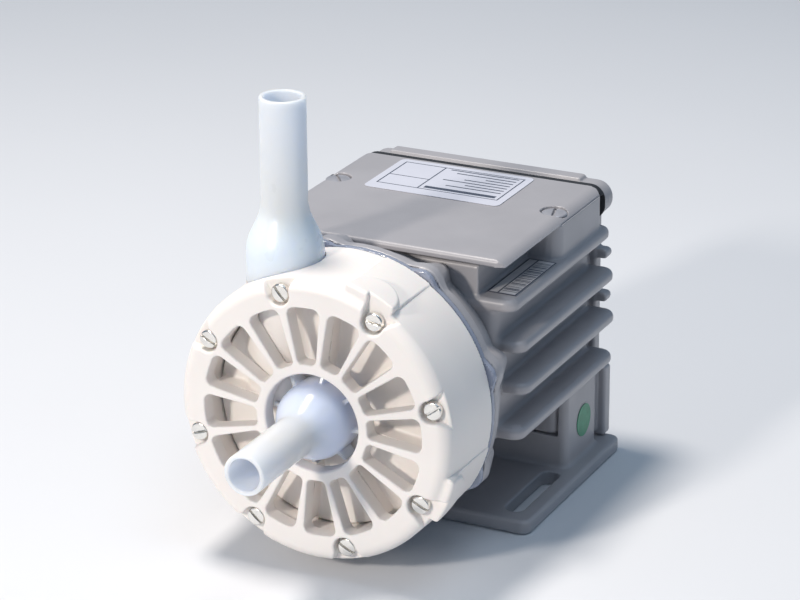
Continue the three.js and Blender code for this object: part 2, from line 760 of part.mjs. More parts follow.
// The angle at which each screw's slot came to rest, from +X towards +Z.
const screwSlotTurns = [37, -7, -50, -27, 17, -42, -27, -25];
for (let i = 0; i < screwCount; i++) {
  const angle = THREE.MathUtils.degToRad(firstScrewAngle + i * 360 / screwCount);
  const [x, z] = [screwCircle * Math.cos(angle), screwCircle * Math.sin(angle)];
  const turn = THREE.MathUtils.degToRad(-screwSlotTurns[i]);
  const screw = coverScrew(i === shortScrew ? shortScrewTip : screwTip);
  place(`cover_screw_${i + 1}`, screw, nickel, [x, 0, z], [0, turn, 0]);
}

const lidScrewShape = lidScrew();
place('lid_screw_left', lidScrewShape, greyPaint, [-lidScrewX, lidScrewY, 0], [0, 0, 0.9]);
place('lid_screw_right', lidScrewShape, greyPaint, [lidScrewX, lidScrewY, 0], [0, 0, 1.3]);

const rearScrewShape = rearScrew();
footScrewPlaces.forEach((spot, i) => {
  place(`foot_screw_${i + 1}`, footScrew(spot), steel);
});
rearScrewPlaces.forEach(([x, z], i) => {
  place(`rear_screw_${i + 1}`, rearScrewShape, nickel, [x, 0, z]);
});

export default pump;
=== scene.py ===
"""Looks for the magnet-drive centrifugal pump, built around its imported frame.

Shapes are worked out in the shaft frame, in millimetres: x to the right seen from the inlet,
y back from the cover's front face, z above the shaft. Cast and moulded pieces are distance
functions turned into meshes, so that every edge and corner has its real rounding; tubes and
screws are turned profiles.
"""
import json
import math

import bmesh
import bpy
import numpy as np
from mathutils import Matrix, Vector


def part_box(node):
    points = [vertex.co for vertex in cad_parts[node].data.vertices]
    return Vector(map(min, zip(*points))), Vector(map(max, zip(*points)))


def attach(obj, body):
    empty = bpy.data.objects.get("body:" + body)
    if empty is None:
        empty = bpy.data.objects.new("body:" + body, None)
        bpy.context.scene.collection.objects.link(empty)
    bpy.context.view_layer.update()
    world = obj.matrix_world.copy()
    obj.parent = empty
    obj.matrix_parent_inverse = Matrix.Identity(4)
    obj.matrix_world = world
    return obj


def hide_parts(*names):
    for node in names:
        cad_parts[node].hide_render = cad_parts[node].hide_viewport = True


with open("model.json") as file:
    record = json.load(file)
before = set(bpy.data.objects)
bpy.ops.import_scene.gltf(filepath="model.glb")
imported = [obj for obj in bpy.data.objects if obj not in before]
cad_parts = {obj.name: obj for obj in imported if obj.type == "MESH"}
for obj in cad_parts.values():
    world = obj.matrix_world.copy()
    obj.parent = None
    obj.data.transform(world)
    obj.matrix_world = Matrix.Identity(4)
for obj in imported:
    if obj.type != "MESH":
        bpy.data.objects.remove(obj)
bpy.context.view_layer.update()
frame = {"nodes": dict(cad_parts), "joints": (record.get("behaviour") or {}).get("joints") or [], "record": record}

MM = 0.001
COARSER = 1

spin = {joint["name"]: joint for joint in frame["joints"]}["rotor_spin"]["pos_m"]
FACE = Vector((spin[0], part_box("front_cover")[0].y, spin[2]))


def node_box(name):
    """A CAD node's lowest and highest corner in the shaft frame, in millimetres."""
    return [(corner - FACE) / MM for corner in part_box(name)]


# ---------- sizes that more than one piece uses, in millimetres ----------
SCREW_CIRCLE = 50.65
FIRST_SCREW = math.radians(15)
SCREW_COUNT = 8
WINDOW_COUNT = 16
PADS = math.radians(66.5), math.radians(-23.5)
PAD_HALF_WIDTH, PAD_RADIUS = 9.95, 59.2
RIB_COUNT = 8
RIB_TURN = math.radians(37.3)
FIRST_WINDOW = FIRST_SCREW + math.pi / WINDOW_COUNT
FOOT_BOTTOM = -FACE.z / MM
LID_LOW, LID_HIGH = node_box("lid")
FOOT_LOW, FOOT_HIGH = node_box("mounting_foot")
COVER_DEPTH = node_box("front_cover")[1].y
OUTLET_LOW, OUTLET_HIGH = node_box("outlet_pipe")
OUTLET_X = (OUTLET_LOW.x + OUTLET_HIGH.x) / 2
OUTLET_Y = (OUTLET_LOW.y + OUTLET_HIGH.y) / 2
SOCKET_RADIUS = 14.8
OUTLET_RADIUS, OUTLET_BORE = 8.8, 7.0
INLET_RADIUS, INLET_BORE = 8.1, 6.3


# ---------- camera, stage and light ----------
def make_camera():
    """The camera stands right of the inlet, above the shaft, with a long lens."""
    azimuth, elevation, roll = math.radians(26.36), math.radians(21.23), math.radians(-0.33)
    distance, lens, sensor_width = 1159.9, 140.9, 36
    aim_right, aim_up = 33.0, 45.8
    back = Vector((math.sin(azimuth) * math.cos(elevation),
                   -math.cos(azimuth) * math.cos(elevation), math.sin(elevation)))
    level = Vector((math.cos(azimuth), math.sin(azimuth), 0))
    upright = back.cross(level)
    right = math.cos(roll) * level + math.sin(roll) * upright
    up = back.cross(right)
    data = bpy.data.cameras.new("camera")
    data.lens = lens
    data.sensor_width = sensor_width
    camera = bpy.data.objects.new("camera", data)
    place = FACE + MM * (distance * back + aim_right * right + aim_up * up)
    axes = Matrix((right, up, back)).transposed()
    camera.matrix_world = Matrix.Translation(place) @ axes.to_4x4()
    bpy.context.scene.collection.objects.link(camera)
    bpy.context.scene.camera = camera


def make_light(name, azimuth, elevation, distance, size, power, colour):
    """A round lamp aimed at the pump. Azimuth runs from the inlet's side towards +X."""
    turn, lift = math.radians(azimuth), math.radians(elevation)
    away = Vector((math.sin(turn) * math.cos(lift), -math.cos(turn) * math.cos(lift), math.sin(lift)))
    data = bpy.data.lights.new(name, "AREA")
    data.shape = "DISK"
    data.size = size
    data.energy = power
    data.color = colour
    lamp = bpy.data.objects.new(name, data)
    pump_middle = FACE + Vector((0, 0.05, 0))
    lamp.location = pump_middle + away * distance
    lamp.rotation_euler = away.to_track_quat("Z", "Y").to_euler()
    bpy.context.scene.collection.objects.link(lamp)


def make_stage():
    """A pale floor, an even bluish sky, two warm lamps and a cooler, weaker one."""
    reach, floor_tint = 9.0, (0.74, 0.75, 0.77)
    sky_tint, sky_strength = (0.52, 0.73, 1.0), 0.28
    corners = [(-reach, -reach, 0), (reach, -reach, 0), (reach, reach, 0), (-reach, reach, 0)]
    mesh = bpy.data.meshes.new("floor")
    mesh.from_pydata(corners, [], [(0, 1, 2, 3)])
    mesh.materials.append(moulded("floor_white", floor_tint, 0.8, variation=0.01, scale=3, bump=0))
    floor = bpy.data.objects.new("floor", mesh)
    bpy.context.scene.collection.objects.link(floor)
    world = bpy.data.worlds.new("studio")
    world.use_nodes = True
    sky = world.node_tree.nodes["Background"]
    sky.inputs["Color"].default_value = (*sky_tint, 1)
    sky.inputs["Strength"].default_value = sky_strength
    bpy.context.scene.world = world
    bpy.context.scene.view_settings.view_transform = "Standard"
    make_light("overhead", -99, 77, 1.3, 0.30, 13.6, (1, 0.93, 0.86))
    make_light("front_key", -16, 26, 1.5, 0.16, 13, (1, 0.92, 0.84))
    make_light("fill_right", 88, 72, 1.6, 0.8, 4.2, (0.75, 0.87, 1))


# ---------- materials ----------
BLOTCH_SPAN = 0.35, 0.65
EDGE_SPAN = 0.52, 0.60
GLOSS_SPREAD, GLOSS_FLOOR = 0.08, 0.02
GRAIN_HEIGHT = 0.0001


def laid_over(tree, tint, amount, colour):
    """A colour laid over a tint, as far as the amount says."""
    mix = tree.nodes.new("ShaderNodeMix")
    mix.data_type = "RGBA"
    mix.inputs["B"].default_value = (*colour, 1)
    tree.links.new(amount, mix.inputs["Factor"])
    tree.links.new(tint, mix.inputs["A"])
    return mix.outputs["Result"]


def ranged(tree, value, limits, smooth=False):
    """A value carried from one range into another, the limits given by their sockets' names."""
    ramp = tree.nodes.new("ShaderNodeMapRange")
    if smooth:
        ramp.interpolation_type = "SMOOTHSTEP"
    for socket, limit in limits.items():
        ramp.inputs[socket].default_value = limit
    tree.links.new(value, ramp.inputs["Value"])
    return ramp.outputs["Result"]


def moulded(name, colour, roughness, metallic=0.0, variation=0.05, scale=60, bump=0.1,
            grain=1500, edge=0.0, deepens=None, **sockets):
    """A material with blotchy colour, uneven gloss, a fine surface grain and, with edge,
    paler rubbed edges. Scales are in features per metre. With deepens, (start, end, colour),
    it turns to that colour between two places along Y, which paints shade on that stretch."""
    material = bpy.data.materials.new(name)
    material.use_nodes = True
    tree = material.node_tree
    nodes, links = tree.nodes, tree.links
    shader = nodes["Principled BSDF"]
    shader.inputs["Metallic"].default_value = metallic
    for socket, value in sockets.items():
        shader.inputs[socket].default_value = value
    place = nodes.new("ShaderNodeTexCoord").outputs["Object"]

    def noise(size, detail=3.0):
        texture = nodes.new("ShaderNodeTexNoise")
        texture.inputs["Scale"].default_value = size
        texture.inputs["Detail"].default_value = detail
        links.new(place, texture.inputs["Vector"])
        return texture.outputs["Fac"]

    blotch = nodes.new("ShaderNodeValToRGB")
    links.new(noise(scale), blotch.inputs["Fac"])
    dark, pale = blotch.color_ramp.elements
    dark.position, pale.position = BLOTCH_SPAN
    dark.color = [c * (1 - variation) for c in colour] + [1]
    pale.color = [min(1, c * (1 + variation * 0.6)) for c in colour] + [1]
    tint = blotch.outputs["Color"]
    if edge:
        rubbed = [min(1, c * 1.5 + 0.05) for c in colour]
        pointed = nodes.new("ShaderNodeNewGeometry").outputs["Pointiness"]
        limits = {"From Min": EDGE_SPAN[0], "From Max": EDGE_SPAN[1], "To Max": edge}
        tint = laid_over(tree, tint, ranged(tree, pointed, limits), rubbed)
    # Painted shade: between start and end along Y the colour darkens to the given one.
    if deepens:
        start, end, deep = deepens
        split = nodes.new("ShaderNodeSeparateXYZ")
        links.new(place, split.inputs["Vector"])
        limits = {"From Min": start, "From Max": end}
        tint = laid_over(tree, tint, ranged(tree, split.outputs["Y"], limits, smooth=True), deep)
    links.new(tint, shader.inputs["Base Color"])
    limits = {"To Min": max(GLOSS_FLOOR, roughness - GLOSS_SPREAD),
              "To Max": min(1, roughness + GLOSS_SPREAD)}
    links.new(ranged(tree, noise(scale * 3), limits), shader.inputs["Roughness"])
    if bump:
        relief = nodes.new("ShaderNodeBump")
        relief.inputs["Strength"].default_value = bump
        relief.inputs["Distance"].default_value = GRAIN_HEIGHT
        links.new(noise(grain, 2.0), relief.inputs["Height"])
        links.new(relief.outputs["Normal"], shader.inputs["Normal"])
    return material


def printed(name, paper, ink, boxes, bars=None):
    """A printed film: ink inside the boxes, each (left, right, front, back) in the shaft frame
    in millimetres. Bars, a (box, pitch) pair, are ink lines across a box, unevenly wide."""
    material = moulded(name, paper, 0.35, variation=0.02, bump=0.03)
    nodes, links = material.node_tree.nodes, material.node_tree.links
    split = nodes.new("ShaderNodeSeparateXYZ")
    links.new(nodes.new("ShaderNodeTexCoord").outputs["Object"], split.inputs["Vector"])

    def maths(operation, *values):
        node = nodes.new("ShaderNodeMath")
        node.operation = operation
        for socket, value in zip(node.inputs, values):
            if isinstance(value, (int, float)):
                socket.default_value = value
            else:
                links.new(value, socket)
        return node.outputs[0]

    def within(value, low, high, start):
        middle, half = start + (low + high) / 2 * MM, (high - low) / 2 * MM
        return maths("COMPARE", value, middle, half)

    def inside(box):
        left, right, front, back = box
        return maths("MULTIPLY", within(split.outputs["X"], left, right, FACE.x),
                     within(split.outputs["Y"], front, back, FACE.y))

    mask = inside(boxes[0])
    for box in boxes[1:]:
        mask = maths("MAXIMUM", mask, inside(box))
    if bars:
        box, pitch = bars
        strokes_per_pitch, threshold = 1.3, 0.5
        wobble = nodes.new("ShaderNodeTexNoise")
        wobble.noise_dimensions = "1D"
        wobble.inputs["Detail"].default_value = 0
        wobble.inputs["Scale"].default_value = strokes_per_pitch / (pitch * MM)
        links.new(split.outputs["Y"], wobble.inputs["W"])
        lines = maths("GREATER_THAN", wobble.outputs["Fac"], threshold)
        mask = maths("MAXIMUM", mask, maths("MULTIPLY", inside(box), lines))
    base = nodes["Principled BSDF"].inputs["Base Color"]
    under = base.links[0].from_socket
    links.new(laid_over(material.node_tree, under, mask, ink), base)
    return material


FAINTLY_MILKY = {"Subsurface Weight": 0.06, "Subsurface Scale": 0.002, "Specular IOR Level": 0.45}
MILKY = {"Subsurface Weight": 1.0, "Subsurface Scale": 0.007, "Subsurface Radius": (0.9, 1.0, 1.2),
         "Specular IOR Level": 0.4}
# Painted shade on the inlet: its colour darkens from 35 mm to 6 mm in front of the cover's face, onto the dome.
DOME_PAINTED_SHADE = FACE.y - 0.035, FACE.y - 0.006, (0.61, 0.67, 0.82)
CREAM = moulded("cream_plastic_look", (0.87, 0.825, 0.785), 0.42, variation=0.02, scale=40,
                bump=0.12, grain=2500, **FAINTLY_MILKY)
NATURAL = moulded("natural_plastic_look", (0.75, 0.82, 1.0), 0.30, variation=0.02, scale=30,
                  bump=0.05, grain=1200, **MILKY)
DOMED = moulded("domed_plastic_look", (0.78, 0.83, 1.0), 0.22, variation=0.02, scale=30,
                bump=0.05, grain=1200, deepens=DOME_PAINTED_SHADE, **MILKY)
CLEAR = moulded("clear_plastic_look", (0.56, 0.61, 0.75), 0.14, variation=0.02, scale=30,
                bump=0.03, grain=1200, **{"Transmission Weight": 0.5})
PAINT = moulded("grey_paint_look", (0.375, 0.365, 0.38), 0.38, variation=0.05, scale=35,
                bump=0.25, grain=1800, edge=0.35, **{"Coat Weight": 0.15, "Coat Roughness": 0.25})
NICKEL = moulded("nickel_look", (0.80, 0.78, 0.74), 0.22, metallic=1.0, variation=0.06,
                 scale=300, bump=0.15, grain=4000)
STEEL = moulded("steel_look", (0.52, 0.53, 0.55), 0.32, metallic=1.0, variation=0.08,
                scale=120, bump=0.15, grain=3000)
LAMINATIONS = moulded("laminations_look", (0.26, 0.27, 0.29), 0.5, metallic=0.8, variation=0.1,
                      scale=200, bump=0.3, grain=3000)
COPPER = moulded("copper_wire_look", (0.55, 0.23, 0.09), 0.35, metallic=0.9, variation=0.15,
                 scale=400, bump=0.6, grain=1500)
MAGNET = moulded("magnet_look", (0.06, 0.06, 0.07), 0.45, variation=0.15, scale=150, bump=0.2)
CARBON = moulded("carbon_look", (0.03, 0.03, 0.032), 0.5, variation=0.2, scale=200, bump=0.2)
CERAMIC = moulded("ceramic_look", (0.86, 0.84, 0.78), 0.2, variation=0.03, bump=0.05)
RUBBER = moulded("black_rubber_look", (0.018, 0.020, 0.024), 0.6, variation=0.2, scale=150,
                 bump=0.4, grain=1500)
BOARD = moulded("board_look", (0.03, 0.16, 0.08), 0.4, variation=0.15, scale=250, bump=0.2)
NYLON = moulded("black_plastic_look", (0.025, 0.026, 0.03), 0.45, variation=0.15, bump=0.2)
LID_SCREW = moulded("lid_screw_look", (0.40, 0.40, 0.43), 0.35, metallic=0.3, variation=0.08,
                    scale=300, bump=0.2, grain=3000)

LOOKS = {
    "cream_plastic": CREAM, "natural_plastic": NATURAL, "grey_paint": PAINT, "nickel": NICKEL,
    "steel": STEEL, "laminations": LAMINATIONS, "copper_wire": COPPER, "magnet": MAGNET,
    "carbon": CARBON, "ceramic": CERAMIC, "black_rubber": RUBBER, "board": BOARD,
    "black_plastic": NYLON, "lid_screw_finish": LID_SCREW,
}


# ---------- distance functions: negative inside, in millimetres ----------
def rounded(a, b, radius):
    """What lies inside both, with the edge between them rounded."""
    if radius <= 0:
        return np.maximum(a, b)
    return np.minimum(-radius, np.maximum(a, b)) + np.hypot(np.maximum(a + radius, 0),
                                                            np.maximum(b + radius, 0))


def joined(a, b, fillet):
    """What lies inside either, with a fillet in the corner between them."""
    return -rounded(-a, -b, fillet)


def carved(body, tool, edge):
    """The body without the tool, with the cut's edge rounded."""
    return rounded(body, -tool, edge)


def band(value, low, high):
    """What lies from low to high."""
    return np.maximum(low - value, value - high)


def rectangle(u, v, low, high, corner):
    """A rectangle with round corners in a plane."""
    past_u, past_v = [np.abs(value - (a + b) / 2) - ((b - a) / 2 - corner)
                      for value, a, b in ((u, low[0], high[0]), (v, low[1], high[1]))]
    outside = np.hypot(np.maximum(past_u, 0), np.maximum(past_v, 0))
    return outside + np.minimum(np.maximum(past_u, past_v), 0) - corner


def slab(outline, value, low, high, edge):
    """An outline carried from low to high, with its rims rounded."""
    return rounded(outline, band(value, low, high), edge)


def block(x, y, z, low, high, corner, edge):
    """A block with round upright corners and rounded rims."""
    return slab(rectangle(x, y, low[:2], high[:2], corner), z, low[2], high[2], edge)


def folded(angle, first, count):
    """The angle from the nearest of count directions, the first of them at first."""
    pitch = 2 * math.pi / count
    return (angle - first + pitch / 2) % pitch - pitch / 2


def near_direction(x, z, first, count):
    """Distances along and across the nearest of count directions about the shaft."""
    radius, turn = np.hypot(x, z), folded(np.arctan2(z, x), first, count)
    return radius * np.cos(turn), np.abs(radius * np.sin(turn))


def from_outlet(x, y):
    """The distance from the outlet's centre line."""
    return np.hypot(x - OUTLET_X, y - OUTLET_Y)


# ---------- meshes ----------
def surface(shape, low, high, step):
    """The zero surface of a distance function, as points and four-sided faces."""
    axes = [np.arange(a - 2 * step, b + 3 * step, step) for a, b in zip(low, high)]
    value = shape(*np.meshgrid(*axes, indexing="ij"))
    stride = np.array([value.shape[1] * value.shape[2], value.shape[2], 1])
    cells, points, faces = [], [], []
    for axis in range(3):
        here = value[tuple(slice(0, -1) if i == axis else slice(None) for i in range(3))]
        there = value[tuple(slice(1, None) if i == axis else slice(None) for i in range(3))]
        crossing = np.argwhere((here < 0) != (there < 0))
        a, b = here[tuple(crossing.T)], there[tuple(crossing.T)]
        place = crossing.astype(float)
        place[:, axis] += a / (a - b)
        first, second = stride[(axis + 1) % 3], stride[(axis + 2) % 3]
        around = (crossing @ stride)[:, None] - np.array([0, first, first + second, second])
        faces.append(np.where((a < 0)[:, None], around, around[:, ::-1]))
        cells.append(around.ravel())
        points.append(np.repeat(place, 4, axis=0))
    ids, owner = np.unique(np.concatenate(cells), return_inverse=True)
    share = np.bincount(owner)
    points = np.concatenate(points)
    points = np.stack([np.bincount(owner, weights=points[:, i]) / share for i in range(3)], axis=1)
    points = points * step + np.array([axis[0] for axis in axes])
    return settled(shape, points, step), np.searchsorted(ids, np.concatenate(faces))


def settled(shape, points, step):
    """Points moved onto the zero surface along its slope, by less than a step."""
    tiny, rounds, least_slope, reach = 0.02, 3, 0.25, 0.6 * step
    start = points.copy()
    for _ in range(rounds):
        x, y, z = points.T
        value = shape(x, y, z)
        slope = np.stack([shape(x + tiny, y, z) - value, shape(x, y + tiny, z) - value,
                          shape(x, y, z + tiny) - value], axis=1) / tiny
        length = np.maximum((slope ** 2).sum(axis=1), least_slope)
        points = points - slope * (value / length)[:, None]
        points = start + np.clip(points - start, -reach, reach)
    return points


def finish_mesh(name, mesh, look, sharp=35):
    """An object with smooth faces, sharp only where they meet at more than an angle."""
    piece = bpy.data.objects.new(name, mesh)
    bpy.context.scene.collection.objects.link(piece)
    mesh.materials.append(look)
    for face in mesh.polygons:
        face.use_smooth = True
    mesh.set_sharp_from_angle(angle=math.radians(sharp))
    return piece


def slopes(shape, points):
    """The distance function's unit slope at each point, which is the surface's normal there."""
    tiny = 0.05
    x, y, z = points.T
    slope = np.stack([shape(x + tiny, y, z) - shape(x - tiny, y, z),
                      shape(x, y + tiny, z) - shape(x, y - tiny, z),
                      shape(x, y, z + tiny) - shape(x, y, z - tiny)], axis=1)
    return slope / np.maximum(np.linalg.norm(slope, axis=1), 1e-9)[:, None]


def shade(mesh, shape):
    """Each face corner takes the distance function's slope at its vertex, or just inside the
    face where the vertex lies on an edge that the face's own side doesn't share."""
    apart, inset = math.cos(math.radians(32)), 0.5
    count = len(mesh.polygons)
    corners = np.empty(len(mesh.loops), int)
    mesh.loops.foreach_get("vertex_index", corners)
    places = np.empty(len(mesh.vertices) * 3)
    mesh.vertices.foreach_get("co", places)
    places = (places.reshape(-1, 3) - np.array(FACE)) / MM
    flat, centres, sides = np.empty(count * 3), np.empty(count * 3), np.empty(count, int)
    mesh.polygons.foreach_get("normal", flat)
    mesh.polygons.foreach_get("center", centres)
    mesh.polygons.foreach_get("loop_total", sides)
    flat = np.repeat(flat.reshape(-1, 3), sides, axis=0)
    centres = np.repeat((centres.reshape(-1, 3) - np.array(FACE)) / MM, sides, axis=0)
    at_vertex = slopes(shape, places)[corners]
    inward = centres - places[corners]
    length = np.linalg.norm(inward, axis=1)[:, None]
    inner = places[corners] + inward * np.minimum(1, inset / np.maximum(length, 1e-6))
    at_inner = slopes(shape, inner)
    agrees = [(normals * flat).sum(axis=1) > apart for normals in (at_vertex, at_inner)]
    normals = np.where(agrees[0][:, None], at_vertex, np.where(agrees[1][:, None], at_inner, flat))
    mesh.normals_split_custom_set(normals.tolist())


def cast(name, shape, low, high, step, slot, keep=0.5, look=None):
    """A piece from a distance function in the shaft frame, thinned to a share of its faces."""
    points, faces = surface(shape, low, high, step * COARSER)
    mesh = bpy.data.meshes.new(name)
    mesh.from_pydata((points * MM + np.array(FACE)).tolist(), [], faces.tolist())
    piece = finish_mesh(name, mesh, look or LOOKS[slot], sharp=180)
    thin = piece.modifiers.new("thin", "DECIMATE")
    thin.ratio = keep
    bpy.context.view_layer.objects.active = piece
    bpy.ops.object.modifier_apply(modifier=thin.name)
    for face in mesh.polygons:
        face.use_smooth = True
    shade(mesh, shape)
    return piece


def soft_profile(corners, steps=6):
    """A closed outline with its corners rounded: each corner is (radius, distance, rounding)."""
    outline = []
    for i, (r, t, rounding) in enumerate(corners):
        corner = Vector((r, t))
        before = Vector(corners[i - 1][:2])
        after = Vector(corners[(i + 1) % len(corners)][:2])
        if not rounding:
            outline.append(corner)
            continue
        ways = [(before - corner), (after - corner)]
        reach = min(rounding, ways[0].length * 0.49, ways[1].length * 0.49)
        start = corner + ways[0].normalized() * reach
        end = corner + ways[1].normalized() * reach
        for k in range(steps + 1):
            s = k / steps
            outline.append((1 - s) ** 2 * start + 2 * s * (1 - s) * corner + s * s * end)
    return outline


def turned(name, corners, slot, centre=(0, 0, 0), upright=False, sides=96, look=None):
    """A profile of (radius, distance) turned about the shaft, or about an upright line."""
    outline = soft_profile(corners)
    mesh = bpy.data.meshes.new(name)
    work = bmesh.new()
    rings = []
    for k in range(sides):
        turn = 2 * math.pi * k / sides
        ring = []
        for point in outline:
            across, up = point.x * math.cos(turn), point.x * math.sin(turn)
            local = Vector((across, up, point.y)) if upright else Vector((across, point.y, up))
            ring.append(work.verts.new(FACE + MM * (Vector(centre) + local)))
        rings.append(ring)
    for k in range(sides):
        a, b = rings[k], rings[(k + 1) % sides]
        for i in range(len(outline)):
            j = (i + 1) % len(outline)
            work.faces.new((a[i], a[j], b[j], b[i]))
    bmesh.ops.remove_doubles(work, verts=work.verts, dist=1e-7)
    bmesh.ops.recalc_face_normals(work, faces=work.faces)
    work.to_mesh(mesh)
    work.free()
    return finish_mesh(name, mesh, look or LOOKS[slot])


def settle(piece, body, *nodes):
    """The piece rides on a body and stands for CAD nodes."""
    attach(piece, body)
    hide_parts(*nodes)


def cast_node(name, node, shape, step, slot, keep, look=None):
    """A cast piece that fills one CAD node's box and stands for it."""
    low, high = node_box(node)
    settle(cast(name, shape, low, high, step, slot, keep, look), "root", node)


# ---------- pump head ----------
def with_pads(body, radius, angle, y, rim_radius):
    """The cover with a low pad and an arched hump at each pad's angle."""
    low_front, low_radius, hump_front = 3, 57.45, 2.2
    arch_start, arch_length = 5.0, 12.5
    turn = np.minimum(*[np.abs(folded(angle, pad, 1)) for pad in PADS]) * rim_radius
    low_pad = np.maximum(turn - PAD_HALF_WIDTH, low_front - y)
    body = joined(body, rounded(low_pad, radius - low_radius, 0.25), 0.2)
    arch = np.hypot(turn / PAD_HALF_WIDTH, np.maximum(y - arch_start, 0) / arch_length)
    hump = rounded((arch - 1) * PAD_HALF_WIDTH, hump_front - y, 1.2)
    return joined(body, rounded(hump, radius - PAD_RADIUS, 1.3), 0.8)


def window(x, z, radius):
    """The nearest of the cover's wedge-shaped windows."""
    inner, outer, half = 23.2, 45.4, math.radians(8.85)
    along, across = near_direction(x, z, FIRST_WINDOW, WINDOW_COUNT)
    edges = across * math.cos(half) - along * math.sin(half)
    return rounded(rounded(edges, radius - outer, 3.0), inner - radius, 2.0)


def screw_pocket(radius, angle, y):
    """The nearest screw's round pocket, whose mouth flares out through the rim."""
    pocket_radius, floor, flare, curl = 4.5, 4.2, 0.36, 0.13
    turn = folded(angle, FIRST_SCREW, SCREW_COUNT)
    along, across = radius * np.cos(turn) - SCREW_CIRCLE, radius * np.sin(turn)
    outward = np.maximum(along, 0)
    sides = np.maximum(across - flare * outward, -across - curl * outward ** 2) - pocket_radius
    mouth = np.maximum(sides, -along)
    return np.maximum(np.minimum(np.hypot(along, across) - pocket_radius, mouth), y - floor)


def cover_shape(x, y, z):
    """A deep cap with a ring of windows around its eye, and a notch for the outlet."""
    shoulder, front_radius, rear_radius = 5.0, 56.2, 57.0
    hollow_radius, hollow_front, eye_radius = 46.5, 7, 19.3
    notch_gap, notch_floor = 0.3, 20
    radius, angle = np.hypot(x, z), np.arctan2(z, x)
    side = radius - front_radius - (rear_radius - front_radius) * y / COVER_DEPTH
    body = rounded(rounded(side, -y, shoulder), y - COVER_DEPTH, 0.4)
    body = np.maximum(with_pads(body, radius, angle, y, rear_radius), y - COVER_DEPTH)
    body = carved(body, rounded(radius - hollow_radius, hollow_front - y, 1), 0.3)
    body = carved(body, window(x, z, radius), 0.7)
    body = carved(body, radius - eye_radius, 1.0)
    body = carved(body, screw_pocket(radius, angle, y), 0.9)
    notch = np.maximum(from_outlet(x, y) - SOCKET_RADIUS - notch_gap, notch_floor - z)
    return carved(body, notch, 0.4)


def make_cover():
    cast_node("front_cover_shell", "front_cover", cover_shape, 0.6, "cream_plastic", 0.35)


def casing_shape(x, y, z):
    """A drum with ribs on its face, the pump chamber in it and a neck for the outlet."""
    (low, high), radius = node_box("volute_casing"), np.hypot(x, z)
    front, eye_radius, outlet_start = 14.0, 9, 2
    chamber_radius, chamber_front, chamber_back = 37, 18, 40
    rib_half, rib_inner, rib_outer = 1.0, 19.1, 44.5
    body = rounded(rounded(radius - high.x, front - y, 1.2), y - high.y, 0.4)
    neck = np.maximum(from_outlet(x, y) - SOCKET_RADIUS, band(z, 0, high.z))
    body = joined(body, neck, 1.5)
    body = carved(body, np.maximum(radius - chamber_radius, band(y, chamber_front, chamber_back)), 0.5)
    along, across = near_direction(x, z, RIB_TURN, RIB_COUNT)
    rib = rounded(across - rib_half, band(along, rib_inner, rib_outer), 0.4)
    body = joined(body, rounded(rib, band(y, low.y, front + 1), 0.4), 1.0)
    body = carved(body, np.maximum(from_outlet(x, y) - OUTLET_BORE, outlet_start - z), 0.4)
    return carved(body, radius - eye_radius, 0.5)


def make_casing():
    cast_node("casing_body", "volute_casing", casing_shape, 0.8, "cream_plastic", 0.3)


def inlet_shape(x, y, z):
    """A tube that runs out of a dome, with small gussets around the dome's foot."""
    tip, back = node_box("inlet_pipe")[0].y, node_box("inlet_socket")[1].y
    dome_centre, blend, outlet_gap = 3.5, 5.0, 0.5
    gusset_half, gusset_inner, gusset_outer = 0.7, 10, 18.7
    radius = np.hypot(x, z)
    dome = np.where(y < dome_centre, np.hypot(radius, y - dome_centre), radius) - SOCKET_RADIUS
    body = joined(dome, radius - INLET_RADIUS, blend)
    along, across = near_direction(x, z, RIB_TURN, RIB_COUNT)
    gusset_front = 4 + 0.5 * (along - 15)
    gusset = rounded(across - gusset_half, band(along, gusset_inner, gusset_outer), 0.3)
    gusset = rounded(gusset, gusset_front - y, 0.3)
    outlet = np.maximum(from_outlet(x, y) - SOCKET_RADIUS - outlet_gap, -z)
    body = joined(body, carved(gusset, outlet, 0), 0.5)
    body = rounded(body, band(y, tip, back), 0.5)
    return carved(body, radius - INLET_BORE, 0.5)


def make_inlet():
    """One piece for the socket and the pipe, because they run smoothly into each other."""
    low, high = node_box("inlet_socket")
    low.y = node_box("inlet_pipe")[0].y
    spout = cast("inlet_spout", inlet_shape, low, high, 0.4, "natural_plastic", 0.35, DOMED)
    settle(spout, "root", "inlet_socket", "inlet_pipe")


def make_outlet():
    """The outlet: a bulb on the casing's neck that tapers into an upright tube."""
    foot, top = node_box("outlet_socket")[0].z, OUTLET_HIGH.z
    shoulder, waist, waist_radius, tube_start = 61.5, 72.6, 9.5, 77
    profile = [(SOCKET_RADIUS, foot, 0.4), (SOCKET_RADIUS, shoulder, 4), (waist_radius, waist, 3),
               (OUTLET_RADIUS, tube_start, 0), (OUTLET_RADIUS, top, 0.6), (OUTLET_BORE, top, 0.6),
               (OUTLET_BORE, foot, 0)]
    spout = turned("outlet_spout", profile, "natural_plastic", (OUTLET_X, OUTLET_Y, 0), True)
    settle(spout, "root", "outlet_socket", "outlet_pipe")


def rear_casing_shape(x, y, z):
    """A plate with an ear at each screw, and the can that stands back from it."""
    front, plate_back, plate_radius = 36.9, 39.6, 57
    ear_circle, ear_radius = 54.2, 5.4
    can_radius, can_back, inner_radius, inner_back = 24.6, 64, 23.4, 61.6
    radius = np.hypot(x, z)
    along, across = near_direction(x, z, FIRST_SCREW, SCREW_COUNT)
    outline = joined(radius - plate_radius, np.hypot(along - ear_circle, across) - ear_radius, 2)
    plate = slab(outline, y, front, plate_back, 0.6)
    can = slab(radius - can_radius, y, front, can_back, 0.6)
    body = np.maximum(joined(plate, can, 1), front - y)
    return carved(body, np.maximum(radius - inner_radius, y - inner_back), 0.3)


def make_rear_casing():
    cast_node("rear_casing_ring", "rear_casing", rear_casing_shape, 0.8, "natural_plastic", 0.4, CLEAR)


